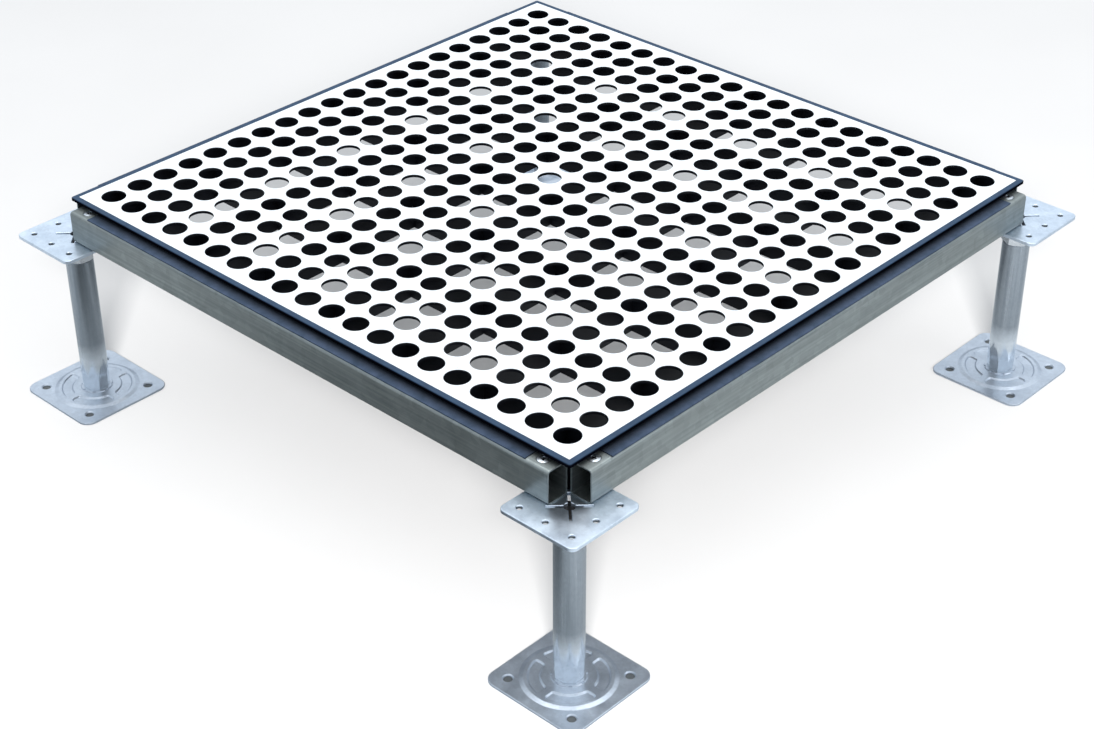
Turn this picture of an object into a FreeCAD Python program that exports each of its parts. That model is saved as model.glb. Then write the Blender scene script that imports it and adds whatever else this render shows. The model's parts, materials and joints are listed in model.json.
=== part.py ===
"""Perforated raised floor tile, on its stringer frame and four adjustable pedestals.

The tile is a steel pan: a perforated top plate on an egg-crate of flat bars, closed by four
folded side rails, with a perforated laminate bonded on top and a plastic trim round its edge.
It lies on foam gaskets on four rectangular-tube stringers. Countersunk screws hold the stringers
to the head plates of four pedestals. Each head plate carries a threaded stud, and a levelling
nut on that stud stands on the rim of the pedestal's tube, so turning the nut sets the height.

Millimetres, +Z up. The origin is on the floor under the centre of the tile. The sides are named
south (-Y), east (+X), north (+Y) and west (-X), and the corners sw, se, ne and nw.
"""
import FreeCAD
import Part
import math
import os

Vector = FreeCAD.Vector
ORIGIN = Vector(0, 0, 0)
UP = Vector(0, 0, 1)

# ---- tile: top ----
tile_size = 600.0              # over the edge trim, and the grid of the pedestals
covering_thickness = 1.2       # laminate bonded on the steel
plate_thickness = 1.5          # perforated steel under it
hole_diameter = 22.0
hole_spacing = 28.75           # about: the pitch is trimmed so that whole cells fill the tile
hole_margin = 12.5             # from the tile's edge to the outer cells of the grid of holes
trim_width = 5.0
trim_height = 3.0
trim_corner_radius = 2.0       # in plan, at the tile's corners
trim_bevel = 0.6               # along the outer arris
trim_joint = 0.3               # open seam between laminate and trim

# ---- tile: pan ----
rail_sheet = 1.4               # folded side rails; their top lip is hemmed to two thicknesses
bend_radius = 1.2              # outer radius of the hem
pan_side_gap = 3.5             # between a side rail and the stringer beside it
pan_bottom_gap = 0.8           # between the pan's lower edge and the head plates
rib_thickness = 3.0
rib_every = 3                  # holes from one rib to the next
lap_clearance = 0.1            # on each side of a bar in its half-lap slot

# ---- stringers, gaskets and screws ----
stringer_width = 21.0
stringer_height = 30.0
stringer_wall = 1.2
stringer_corner_radius = 3.0
stringer_end_gap = 12.0        # from the pedestal's axis to the tube's open end
gasket_width = 19.0
gasket_thickness = 1.0
gasket_end_gap = 36.0          # from the pedestal's axis to the gasket's end
screw_head_diameter = 11.3     # M6 countersunk, 90 degrees
screw_core_diameter = 4.9      # threads are left plain, at their root
screw_seat_clearance = 0.05
screw_hole_diameter = 6.5      # clearance hole in the stringer's lower wall
screw_projection = 2.0         # below the head plate
screw_tip_bevel = 1.0
recess_span = 6.0              # cross recess in the screw's head
recess_width = 1.2
recess_depth = 2.2
recess_taper = 1.1             # each arm of the cross is this much shorter at its floor

# ---- pedestal head ----
head_size = 75.0
head_thickness = 3.0
head_corner_radius = 6.0
head_arris = 0.4               # small bevel on the upper edge of the head and base plates
head_hole_diameter = 5.0       # tapped M6, at its root
head_hole_bevel = 0.5          # lead-in of the tapped holes
head_hole_offset = 26.0        # from the centre to each row of holes
head_centre_hole = 9.2
head_slot_width = 2.4          # four punched slots on the diagonals
head_slot_reach = 17.5         # from the centre to a slot's end
head_slot_bevel = 0.4          # upper edge of the slots and of the centre hole
stud_diameter = 16.0           # M16, drawn at its major diameter
stud_length = 100.0
stud_chamfer = 1.5
weld_height = 2.0              # weld round the top of the stud
weld_leg = 2.5
nut_width = 24.0               # across flats
nut_height = 13.0
nut_spigot_length = 6.0        # collar that centres the nut in the tube
thread_clearance = 0.05        # radial, stud in nut
spigot_clearance = 0.08        # radial, spigot in tube
stud_exposed = 9.0             # from the nut to the head plate, as set

# ---- pedestal foot ----
tube_top = 140.0               # height of the tube's rim above the floor
tube_diameter = 25.0
tube_wall = 1.6
foot_facets = 8                # the tube's foot is swaged to a polygon
foot_width = 22.0              # across those flats
foot_taper = 26.0              # height over which the facets run out
foot_recess = 0.5              # tube's end above the floor
foot_clearance = 0.05
base_size = 95.0
base_sheet = 2.0
base_corner_radius = 11.0
anchor_hole_diameter = 7.4
anchor_hole_bevel = 1.0
anchor_hole_offset = 33.35
plateau_height = 1.5           # the pressed disc stands this far above the flat border
plateau_foot_radius = 39.0
plateau_top_radius = 35.3
press_radius = 2.0             # radius of the disc's pressed edges
pocket_inner_radius = 22.0     # four pockets pressed back into the disc, between spokes
pocket_outer_radius = 32.5
pocket_corner_radius = 3.0
pocket_spoke = 6.0             # width of the spoke between two pockets
pocket_depth = 1.3
pocket_draft = 1.2
pocket_edge_radius = 0.6
collar_radius = 14.8           # raised collar staked round the tube's foot
collar_height = 1.0
collar_bevel = 0.5
stake_radius = 1.6             # punch marks that close the collar on the tube's flats
stake_depth = 0.9

# ---- heights, from the floor up ----
nut_top = tube_top + nut_height
head_bottom = nut_top + stud_exposed
head_top = head_bottom + head_thickness
stringer_top = head_top + stringer_height
gasket_top = stringer_top + gasket_thickness
plate_bottom = gasket_top + 2 * rail_sheet
plate_top = plate_bottom + plate_thickness
tile_top = plate_top + covering_thickness
pan_bottom = head_top + pan_bottom_gap

# ---- plan, from the centre out ----
half_tile = tile_size / 2
half_plate = half_tile - trim_width
half_covering = half_plate - trim_joint
pan_wall = half_tile - stringer_width / 2 - pan_side_gap     # outer face of the side rails
pan_inside = pan_wall - rail_sheet

grid_size = tile_size - 2 * hole_margin
hole_count = round(grid_size / hole_spacing)
hole_pitch = grid_size / hole_count
hole_offsets = [(i - (hole_count - 1) / 2) * hole_pitch for i in range(hole_count)]
first_rib = ((hole_count - 2) % rib_every) // 2
rib_offsets = [hole_offsets[i] + hole_pitch / 2 for i in range(first_rib, hole_count - 1, rib_every)]

SIDES = {"south": 0, "east": 90, "north": 180, "west": 270}
CORNERS = {"sw": 0, "se": 90, "ne": 180, "nw": 270}


# ---- outlines ----
def outline(points, radii=0.0):
    """Closed wire through points, with each corner rounded to its radius."""
    if not isinstance(radii, (list, tuple)):
        radii = [radii] * len(points)
    corners = []
    for i, point in enumerate(points):
        if not radii[i]:
            corners.append((point, None, point))
            continue
        back = (points[i - 1] - point).normalize()
        ahead = (points[(i + 1) % len(points)] - point).normalize()
        half_angle = back.getAngle(ahead) / 2
        setback = radii[i] / math.tan(half_angle)
        bisector = (back + ahead).normalize()
        middle = point + bisector * (radii[i] / math.sin(half_angle) - radii[i])
        corners.append((point + back * setback, middle, point + ahead * setback))
    edges = []
    for i, (start, middle, end) in enumerate(corners):
        if middle is not None:
            edges.append(Part.Arc(start, middle, end).toShape())
        next_start = corners[(i + 1) % len(corners)][0]
        if end.distanceToPoint(next_start) > 1e-6:
            edges.append(Part.LineSegment(end, next_start).toShape())
    return Part.Wire(edges)


def rectangle(width, depth, z, radius=0.0):
    """Centred rectangle at height z."""
    x, y = width / 2, depth / 2
    return outline([Vector(-x, -y, z), Vector(x, -y, z), Vector(x, y, z), Vector(-x, y, z)], radius)


def polygon(sides, across_flats, z):
    """Regular polygon at height z, with a flat towards +X."""
    reach = across_flats / 2 / math.cos(math.pi / sides)
    angles = [math.pi * (2 * i + 1) / sides for i in range(sides)]
    return outline([Vector(reach * math.cos(a), reach * math.sin(a), z) for a in angles])


def prism(wire, height, holes=()):
    """Solid that stands on a wire, with openings through it."""
    if holes:
        face = Part.makeFace([wire] + list(holes), "Part::FaceMakerCheese")
    else:
        face = Part.Face(wire)
    return face.extrude(UP * height)


def circle(radius, x, y, z):
    """Circular wire at height z."""
    return Part.Wire(Part.Circle(Vector(x, y, z), UP, radius).toShape())


def turned(profile, radii=0.0):
    """Solid of revolution about Z from (radius, height) points."""
    wire = outline([Vector(r, 0, z) for r, z in profile], radii)
    return Part.Face(wire).revolve(ORIGIN, UP, 360)


def loft(lower, upper):
    """Solid with straight sides between two wires."""
    return Part.makeLoft([lower, upper], True, True)


def about_centre(shape, angle):
    """Copy of a shape, turned about the tile's vertical axis."""
    copy = shape.copy()
    copy.rotate(ORIGIN, UP, angle)
    return copy


def at_corner(shape, angle):
    """Copy of a pedestal piece, moved from the origin to its corner of the grid."""
    copy = shape.copy()
    copy.translate(Vector(-half_tile, -half_tile, 0))
    return about_centre(copy, angle)


def bevel_top(shape, z, size, reach):
    """Bevels the outer edges at height z that lie further out than reach."""
    edges = []
    for edge in shape.Edges:
        box = edge.BoundBox
        level = abs(box.ZMin - z) < 1e-4 and abs(box.ZMax - z) < 1e-4
        farthest = max(abs(box.XMin), abs(box.XMax), abs(box.YMin), abs(box.YMax))
        if level and farthest > reach:
            edges.append(edge)
    return shape.makeChamfer(size, edges)


def lead_in(radius, bevel, mouth):
    """Cutter for the bevel round the mouth of a hole."""
    return Part.makeCone(radius, radius + bevel, bevel, mouth - UP * bevel)


# ---- tile ----
def perforated_sheet(half_size, thickness, z):
    """Square sheet with the full grid of round holes."""
    holes = [circle(hole_diameter / 2, x, y, z) for x in hole_offsets for y in hole_offsets]
    return prism(rectangle(2 * half_size, 2 * half_size, z), thickness, holes)


def side_wedge(height):
    """Triangle from the centre to the two southern corners, which mitres a side's pieces."""
    far = tile_size
    return prism(outline([ORIGIN, Vector(-far, -far, 0), Vector(far, -far, 0)]), height)


def edge_trim():
    """South trim: a quarter of a square ring with rounded corners, mitred at its ends."""
    bottom = tile_top - trim_height
    outer = rectangle(tile_size, tile_size, bottom, trim_corner_radius)
    inner = rectangle(2 * half_plate, 2 * half_plate, bottom)
    ring = prism(outer, trim_height, [inner])
    ring = bevel_top(ring, tile_top, trim_bevel, half_plate + trim_width / 2)
    return ring.common(side_wedge(tile_top))


def side_rail():
    """South side rail: sheet folded out at the top and hemmed back under itself."""
    lip = plate_bottom - 2 * rail_sheet
    profile = [
        Vector(-tile_size, -pan_inside, pan_bottom),
        Vector(-tile_size, -pan_inside, plate_bottom),
        Vector(-tile_size, -half_plate, plate_bottom),
        Vector(-tile_size, -half_plate, lip),
        Vector(-tile_size, -pan_wall, lip),
        Vector(-tile_size, -pan_wall, pan_bottom),
    ]
    radii = [0, 0, bend_radius, bend_radius, 0, 0]
    rail = Part.Face(outline(profile, radii)).extrude(Vector(2 * tile_size, 0, 0))
    return rail.common(side_wedge(tile_top))


def rib(offset, slots_up):
    """Flat bar along X with half-lap slots for the bars that cross it."""
    middle = (plate_bottom + pan_bottom) / 2
    half_slot = rib_thickness / 2 + lap_clearance
    slotted, plain = (plate_bottom, pan_bottom) if slots_up else (pan_bottom, plate_bottom)
    near = offset - rib_thickness / 2
    points = [Vector(-pan_inside, near, plain), Vector(-pan_inside, near, slotted)]
    for x in rib_offsets:
        points += [Vector(x - half_slot, near, slotted), Vector(x - half_slot, near, middle)]
        points += [Vector(x + half_slot, near, middle), Vector(x + half_slot, near, slotted)]
    points += [Vector(pan_inside, near, slotted), Vector(pan_inside, near, plain)]
    return Part.Face(outline(points)).extrude(Vector(0, rib_thickness, 0))


# ---- stringers ----
def screw_positions():
    """Places of the two screws at the ends of the south stringer."""
    x = half_tile - head_hole_offset
    return [Vector(-x, -half_tile, stringer_top), Vector(x, -half_tile, stringer_top)]


def stringer():
    """South stringer: open rectangular tube, countersunk for its two screws."""
    half_length = half_tile - stringer_end_gap
    x = -half_length
    y, z = stringer_width / 2, stringer_height / 2
    sections = []
    for wall in (0.0, stringer_wall):
        corners = [(-y + wall, -z + wall), (y - wall, -z + wall), (y - wall, z - wall), (-y + wall, z - wall)]
        radius = stringer_corner_radius - wall
        sections.append(outline([Vector(x, cy, cz) for cy, cz in corners], radius))
    face = Part.makeFace(sections, "Part::FaceMakerCheese")
    tube = face.extrude(Vector(2 * half_length, 0, 0))
    tube.translate(Vector(0, -half_tile, head_top + stringer_height / 2))
    mouth = screw_head_diameter / 2 + screw_seat_clearance
    for place in screw_positions():
        seat = Part.makeCone(0, mouth, mouth, place - UP * mouth)
        hole = Part.makeCylinder(screw_hole_diameter / 2, stringer_height / 2, place - UP * stringer_height)
        tube = tube.cut(seat).cut(hole)
    return tube


def gasket():
    """South gasket: flat strip on top of the stringer."""
    length = tile_size - 2 * gasket_end_gap
    strip = prism(rectangle(length, gasket_width, stringer_top), gasket_thickness)
    strip.translate(Vector(0, -half_tile, 0))
    return strip


def screw():
    """Countersunk screw with a cross recess, with the top of its head at the origin."""
    head = screw_head_diameter / 2
    core = screw_core_diameter / 2
    tip = -(stringer_height + head_thickness + screw_projection)
    body = turned([
        (0, tip), (core - screw_tip_bevel, tip), (core, tip + screw_tip_bevel),
        (core, core - head), (head, 0), (0, 0),
    ])
    for turn in (0, 90):
        arm = loft(rectangle(recess_span - 2 * recess_taper, recess_width, -recess_depth),
                   rectangle(recess_span, recess_width, 0))
        arm.rotate(ORIGIN, UP, turn)
        body = body.cut(arm)
    return body


def corner_screws():
    """The two screws in the sw head plate: one in the south stringer and one in the west."""
    south = screw()
    south.translate(screw_positions()[0])
    west = screw()
    west.translate(Vector(-half_tile, -half_tile + head_hole_offset, stringer_top))
    return Part.makeCompound([south, west])


# ---- pedestal, built about the origin ----
def head_plate():
    """Square plate with eight tapped holes, a centre hole and four punched slots."""
    rows = (-head_hole_offset, 0, head_hole_offset)
    places = [(x, y) for x in rows for y in rows if x or y]
    radius = head_hole_diameter / 2
    holes = [circle(radius, x, y, head_bottom) for x, y in places]
    outer = rectangle(head_size, head_size, head_bottom, head_corner_radius)
    plate = prism(outer, head_thickness, holes)
    plate = bevel_top(plate, head_top, head_arris, head_hole_offset + head_hole_diameter)
    for x, y in places:
        plate = plate.cut(lead_in(radius, head_hole_bevel, Vector(x, y, head_top)))
    plate = plate.cut(Part.makeCylinder(head_centre_hole / 2, head_thickness, UP * head_bottom))
    plate = plate.cut(lead_in(head_centre_hole / 2, head_slot_bevel, UP * head_top))
    for angle in (45, 135):
        plate = plate.cut(about_centre(slot_cutter(), angle))
    return plate


def slot_cutter():
    """Space of two opposite slots along X, widened at the plate's top."""
    length = 2 * head_slot_reach
    slot = prism(rectangle(length, head_slot_width, head_bottom), head_thickness)
    wider = rectangle(length + 2 * head_slot_bevel, head_slot_width + 2 * head_slot_bevel, head_top)
    mouth = loft(rectangle(length, head_slot_width, head_top - head_slot_bevel), wider)
    return slot.fuse(mouth)


def stud():
    """Threaded stud under the head plate, with its weld."""
    radius = stud_diameter / 2
    end = head_bottom - stud_length
    return turned([
        (0, end), (radius - stud_chamfer, end), (radius, end + stud_chamfer),
        (radius, head_bottom - weld_height), (radius + weld_leg, head_bottom), (0, head_bottom),
    ])


def levelling_nut():
    """Hexagon nut with both faces chamfered and a spigot that drops into the tube."""
    reach = nut_width / 2 / math.cos(math.pi / 6)
    drop = (reach - nut_width / 2) * math.tan(math.radians(30))
    bore = stud_diameter / 2 + thread_clearance
    envelope = turned([
        (0, tube_top), (nut_width / 2, tube_top), (reach, tube_top + drop),
        (reach, nut_top - drop), (nut_width / 2, nut_top), (0, nut_top),
    ])
    nut = prism(polygon(6, nut_width, tube_top), nut_height).common(envelope)
    spigot_radius = tube_diameter / 2 - tube_wall - spigot_clearance
    spigot_end = tube_top - nut_spigot_length
    nut = nut.fuse(Part.makeCylinder(spigot_radius, nut_spigot_length, UP * spigot_end))
    nut = nut.cut(Part.makeCylinder(bore, nut_height + nut_spigot_length, UP * spigot_end))
    return nut.removeSplitter()


def tube():
    """Round tube whose foot is swaged to an octagon, so that its facets run out as arches."""
    outer = tube_diameter / 2
    bore = outer - tube_wall
    foot_bore = foot_width / 2 - tube_wall
    straight = base_sheet + plateau_height + collar_height
    runout = straight + foot_taper
    swage = prism(polygon(foot_facets, foot_width, foot_recess), straight - foot_recess)
    swage = swage.fuse(loft(polygon(foot_facets, foot_width, straight),
                            polygon(foot_facets, tube_diameter, runout)))
    foot = swage.common(Part.makeCylinder(outer, runout, ORIGIN))
    shank = Part.makeCylinder(outer, tube_top - runout, UP * runout)
    hollow = turned([
        (0, foot_recess), (foot_bore, foot_recess), (foot_bore, straight),
        (bore, runout), (bore, tube_top), (0, tube_top),
    ])
    return foot.fuse(shank).cut(hollow).removeSplitter()


def mirrored(point):
    """The point on the other side of the XZ plane."""
    return Vector(point.x, -point.y, point.z)


def pocket(grow, z):
    """Outline of the pocket about +X: a sector between two spokes with round corners, grown."""
    radius = pocket_corner_radius + grow
    inset = pocket_spoke / 2 + pocket_corner_radius
    along_spoke = Vector(1, 1, 0).normalize()
    to_spoke = Vector(-1, 1, 0).normalize()

    def corner(reach):
        return along_spoke * math.sqrt(reach ** 2 - inset ** 2) - to_spoke * inset + UP * z

    def bend(centre, start, end):
        middle = (start + end).normalize()
        return Part.Arc(*(centre + way * radius for way in (start, middle, end))).toShape()

    def sweep(start, reach):
        return Part.Arc(start, Vector(reach, 0, z), mirrored(start)).toShape()

    outer = corner(pocket_outer_radius - pocket_corner_radius)
    inner = corner(pocket_inner_radius + pocket_corner_radius)
    outward = Vector(outer.x, outer.y, 0).normalize()
    inward = -Vector(inner.x, inner.y, 0).normalize()
    half = [
        bend(outer, outward, to_spoke),
        Part.LineSegment(outer + to_spoke * radius, inner + to_spoke * radius).toShape(),
        bend(inner, to_spoke, inward),
    ]
    other_half = [
        bend(mirrored(inner), mirrored(inward), mirrored(to_spoke)),
        Part.LineSegment(mirrored(inner + to_spoke * radius), mirrored(outer + to_spoke * radius)).toShape(),
        bend(mirrored(outer), mirrored(to_spoke), mirrored(outward)),
    ]
    inner_arc = sweep(inner + inward * radius, pocket_inner_radius - grow)
    outer_arc = sweep(mirrored(outer + outward * radius), pocket_outer_radius + grow)
    return Part.Wire(half + [inner_arc] + other_half + [outer_arc])


def pocket_cutter(floor, top):
    """Space of one pocket, with its floor edge rounded and its mouth flared."""
    cutter = loft(pocket(-pocket_draft, floor), pocket(0, top))
    edges = [edge for edge in cutter.Edges if edge.BoundBox.ZMax < floor + 1e-4]
    return cutter.makeFillet(pocket_edge_radius, edges)


def base_plate():
    """Pressed foot: flat border, raised disc, four sunken pockets and a staked collar."""
    border = prism(rectangle(base_size, base_size, 0, base_corner_radius), base_sheet)
    border = bevel_top(border, base_sheet, head_arris, plateau_foot_radius)
    border = border.cut(Part.makeCylinder(plateau_foot_radius, base_sheet, ORIGIN))

    rim = plateau_foot_radius + press_radius
    top = base_sheet + plateau_height
    slope = math.atan2(plateau_height, plateau_foot_radius - plateau_top_radius)
    setback = base_sheet * math.tan(slope / 2)
    disc = turned([
        (0, plateau_height), (plateau_top_radius - setback, plateau_height),
        (plateau_foot_radius - setback, 0), (rim, 0), (rim, base_sheet),
        (plateau_foot_radius, base_sheet), (plateau_top_radius, top), (0, top),
    ], [0, press_radius, press_radius, 0, 0, press_radius, press_radius, 0])
    plate = border.fuse(disc)

    floor = top - pocket_depth
    wall_angle = math.atan2(pocket_depth, pocket_draft)
    wall_shift = base_sheet * math.tan(wall_angle / 2)
    cavity = pocket_cutter(floor, top)
    bulge = loft(pocket(wall_shift - pocket_draft, floor - base_sheet),
                 pocket(wall_shift, top - base_sheet))
    for angle in (45, 135, 225, 315):
        plate = plate.fuse(about_centre(bulge, angle)).cut(about_centre(cavity, angle))

    collar_top = top + collar_height
    collar = turned([
        (0, top), (collar_radius, top), (collar_radius - collar_bevel, collar_top), (0, collar_top),
    ])
    for i in range(foot_facets):
        angle = 2 * math.pi * i / foot_facets
        place = Vector(math.cos(angle), math.sin(angle), 0) * collar_radius
        place.z = collar_top - stake_depth
        collar = collar.cut(Part.makeCylinder(stake_radius, stake_depth, place))
    plate = plate.fuse(collar)

    socket = prism(polygon(foot_facets, foot_width + 2 * foot_clearance, 0), collar_top)
    plate = plate.cut(socket)
    radius = anchor_hole_diameter / 2
    for x in (-anchor_hole_offset, anchor_hole_offset):
        for y in (-anchor_hole_offset, anchor_hole_offset):
            plate = plate.cut(Part.makeCylinder(radius, base_sheet, Vector(x, y, 0)))
            plate = plate.cut(lead_in(radius, anchor_hole_bevel, Vector(x, y, base_sheet)))
    return round_pocket_edges(plate.removeSplitter(), top)


def round_pocket_edges(plate, top):
    """Rounds the plate where its top turns down into the pockets."""
    edges = []
    for edge in plate.Edges:
        box = edge.BoundBox
        level = abs(box.ZMin - top) < 1e-4 and abs(box.ZMax - top) < 1e-4
        reach = math.hypot(edge.CenterOfMass.x, edge.CenterOfMass.y)
        if level and collar_radius + stake_radius < reach < pocket_outer_radius + 1e-3:
            edges.append(edge)
    return plate.makeFillet(pocket_edge_radius, edges)


# ---- assembly ----
def assembly():
    """Every piece of the tile and its frame, by name."""
    pieces = {
        "top_covering": perforated_sheet(half_covering, covering_thickness, plate_top),
        "top_plate": perforated_sheet(half_plate, plate_thickness, plate_bottom),
    }
    for number, offset in enumerate(rib_offsets, start=1):
        pieces["rib_east_west_%d" % number] = rib(offset, True)
        pieces["rib_north_south_%d" % number] = about_centre(rib(-offset, False), 90)

    for name, make in (("edge_trim", edge_trim), ("side_rail", side_rail),
                       ("stringer", stringer), ("gasket", gasket)):
        shape = make()
        for side, angle in SIDES.items():
            pieces["%s_%s" % (name, side)] = about_centre(shape, angle)

    screws = corner_screws()
    for corner, angle in CORNERS.items():
        pieces["stringer_screws_%s" % corner] = about_centre(screws, angle)

    for name, make in (("head_plate", head_plate), ("threaded_stud", stud),
                       ("levelling_nut", levelling_nut), ("pedestal_tube", tube),
                       ("base_plate", base_plate)):
        shape = make()
        for corner, angle in CORNERS.items():
            pieces["%s_%s" % (name, corner)] = at_corner(shape, angle)
    return pieces


os.makedirs("parts", exist_ok=True)
for node, solid in assembly().items():
    solid.exportStep("parts/%s.step" % node)
print("tile top %.1f mm above the floor, %d x %d holes" % (tile_top, hole_count, hole_count))
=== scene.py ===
# %% [markdown]
# # A perforated raised floor tile, dressed for the studio
#
# The construction comes ready made: a steel pan under a white perforated laminate, lying on four
# rectangular stringers, which are screwed to four pressed-steel pedestals. This lesson gives
# every surface its finish, and adds the small turned and welded parts that a CAD model leaves
# plain: screw threads, cross recesses, weld beads and tapped holes.
#
# Blender works in metres here. The floor is z = 0, and the tile's centre is over the origin.

# %% Load the frame
import json
import math
import random

import bmesh
import bpy
from mathutils import Matrix, Quaternion, Vector

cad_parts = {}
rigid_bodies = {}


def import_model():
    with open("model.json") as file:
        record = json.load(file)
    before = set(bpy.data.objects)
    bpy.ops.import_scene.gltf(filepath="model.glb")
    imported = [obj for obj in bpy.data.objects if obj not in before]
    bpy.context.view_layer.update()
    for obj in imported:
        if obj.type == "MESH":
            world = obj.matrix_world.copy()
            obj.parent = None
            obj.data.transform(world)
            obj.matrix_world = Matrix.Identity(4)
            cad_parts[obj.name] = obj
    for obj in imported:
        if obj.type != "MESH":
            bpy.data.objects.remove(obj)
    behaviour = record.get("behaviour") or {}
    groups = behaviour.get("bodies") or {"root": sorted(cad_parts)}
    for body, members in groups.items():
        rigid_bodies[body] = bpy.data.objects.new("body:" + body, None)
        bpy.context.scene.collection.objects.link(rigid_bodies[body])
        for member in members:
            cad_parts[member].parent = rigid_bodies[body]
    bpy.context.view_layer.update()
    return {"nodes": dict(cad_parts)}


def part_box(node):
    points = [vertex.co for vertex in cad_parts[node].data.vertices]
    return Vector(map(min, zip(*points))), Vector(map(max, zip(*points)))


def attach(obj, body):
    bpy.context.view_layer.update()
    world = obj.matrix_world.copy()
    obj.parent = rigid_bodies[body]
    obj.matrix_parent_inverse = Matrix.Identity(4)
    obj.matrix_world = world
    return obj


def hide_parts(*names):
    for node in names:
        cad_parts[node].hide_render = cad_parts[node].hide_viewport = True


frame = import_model()
nodes = frame["nodes"]
MM = 0.001

# %% [markdown]
# ## Where things are
#
# Nothing is placed by guesswork. Each height and each pedestal's axis is read off the boxes of
# the CAD nodes, so the added pieces follow the model if a size in it changes.

# %% Heights and axes
CORNERS = ("sw", "se", "ne", "nw")


def middle(node):
    """The centre of a CAD node's box."""
    low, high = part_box(node)
    return (low + high) / 2


tile_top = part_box("top_covering")[1].z
stringer_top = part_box("stringer_south")[1].z
head_bottom, head_top = (corner.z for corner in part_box("head_plate_sw"))
pedestal_axis = {corner: middle("head_plate_" + corner).xy for corner in CORNERS}
print("tile top %.1f mm, head plates %.1f mm up" % (tile_top / MM, head_bottom / MM))

# %% [markdown]
# ## The camera
#
# A long lens from about 1.85 m keeps the rows of holes nearly parallel, as in a catalogue
# picture. It looks down on the south-west corner at about 33 degrees. Three Euler angles would
# do, but the line of sight as a vector is easier to read. A quaternion turns the camera along
# it, and a second one adds the slight roll.

# %% Camera
camera_data = bpy.data.cameras.new("camera")
camera_data.sensor_width = 36.0
camera_data.lens = 69.42
camera = bpy.data.objects.new("camera", camera_data)
bpy.context.scene.collection.objects.link(camera)
bpy.context.scene.camera = camera

line_of_sight = Vector((0.61244, 0.57689, -0.54048))
roll = Quaternion((0, 0, 1), math.radians(-0.21))
camera.location = (-1.21258, -1.13741, 1.08356)
camera.rotation_mode = "QUATERNION"
camera.rotation_quaternion = line_of_sight.to_track_quat("-Z", "Y") @ roll
print("camera %.2f m from the tile's centre" % camera.location.length)

# %% [markdown]
# ## Tools for finishes
#
# Every finish is procedural and is painted in Object coordinates. Those are metres in the
# part's own frame, so a millimetre of grain is a millimetre on every piece. A texture image
# would need unwrapping and would blur up close. The small tools below each add one node to a
# material and hand back its output socket, which keeps the recipes short.


# %% Tools for finishes: a material and its coordinates
def new_finish(name, metallic=0.0, roughness=0.5):
    """A Principled material: the material, its node tree, its shader and Object coordinates."""
    material = bpy.data.materials.new(name)
    material.use_nodes = True
    tree = material.node_tree
    shader = tree.nodes["Principled BSDF"]
    shader.inputs["Metallic"].default_value = metallic
    shader.inputs["Roughness"].default_value = roughness
    place = tree.nodes.new("ShaderNodeTexCoord").outputs["Object"]
    return material, tree, shader, place


def stretched(tree, place, scale):
    """Coordinates scaled along each axis by its own amount, for grain that runs one way."""
    mapping = tree.nodes.new("ShaderNodeMapping")
    mapping.inputs["Scale"].default_value = scale
    tree.links.new(place, mapping.inputs["Vector"])
    return mapping.outputs["Vector"]


def height_of(tree, place):
    """The z coordinate alone."""
    node = tree.nodes.new("ShaderNodeSeparateXYZ")
    tree.links.new(place, node.inputs[0])
    return node.outputs["Z"]


def dress(material, *names):
    """Gives CAD nodes this finish."""
    for name in names:
        slots = nodes[name].data.materials
        slots.clear()
        slots.append(material)
    print(material.name, "on", len(names), "nodes")


def named(prefix):
    """The names of the CAD nodes that start like this."""
    return sorted(name for name in nodes if name.startswith(prefix))


# %% Tools for finishes: patterns
def cloud(tree, place, scale, detail, rough=0.5):
    """Noise with so many features to the metre."""
    node = tree.nodes.new("ShaderNodeTexNoise")
    node.inputs["Scale"].default_value = scale
    node.inputs["Detail"].default_value = detail
    node.inputs["Roughness"].default_value = rough
    tree.links.new(place, node.inputs["Vector"])
    return node.outputs["Fac"]


def grains(tree, place, scale, output="Color"):
    """Voronoi cells, for crystals, pores or flecks: a colour per cell, or a distance."""
    node = tree.nodes.new("ShaderNodeTexVoronoi")
    node.inputs["Scale"].default_value = scale
    tree.links.new(place, node.inputs["Vector"])
    return node.outputs[output]


# %% Tools for finishes: values and colours
def as_rgba(colour):
    """A grey level or an RGB triple as RGBA."""
    if isinstance(colour, (int, float)):
        colour = (colour, colour, colour)
    return (*colour, 1.0)


def plug(tree, socket, value, convert=lambda plain: plain):
    """Links a socket to a value, or sets it if the value is plain."""
    if isinstance(value, bpy.types.NodeSocket):
        tree.links.new(value, socket)
    else:
        socket.default_value = convert(value)


def ramp(tree, value, stops):
    """A colour ramp from (position, colour) stops."""
    node = tree.nodes.new("ShaderNodeValToRGB")
    elements = node.color_ramp.elements
    for element, (position, colour) in zip(elements, (stops[0], stops[-1])):
        element.position = position
        element.color = as_rgba(colour)
    for position, colour in stops[1:-1]:
        elements.new(position).color = as_rgba(colour)
    tree.links.new(value, node.inputs["Fac"])
    return node.outputs["Color"]


def blended(tree, factor, first, second, mode="MIX"):
    """Two colours mixed by a factor."""
    node = tree.nodes.new("ShaderNodeMix")
    node.data_type = "RGBA"
    node.blend_type = mode
    plug(tree, node.inputs[0], factor)
    plug(tree, node.inputs[6], first, as_rgba)
    plug(tree, node.inputs[7], second, as_rgba)
    return node.outputs[2]


def sums(tree, operation, first, second):
    """One step of arithmetic."""
    node = tree.nodes.new("ShaderNodeMath")
    node.operation = operation
    plug(tree, node.inputs[0], first)
    plug(tree, node.inputs[1], second)
    return node.outputs[0]


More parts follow.
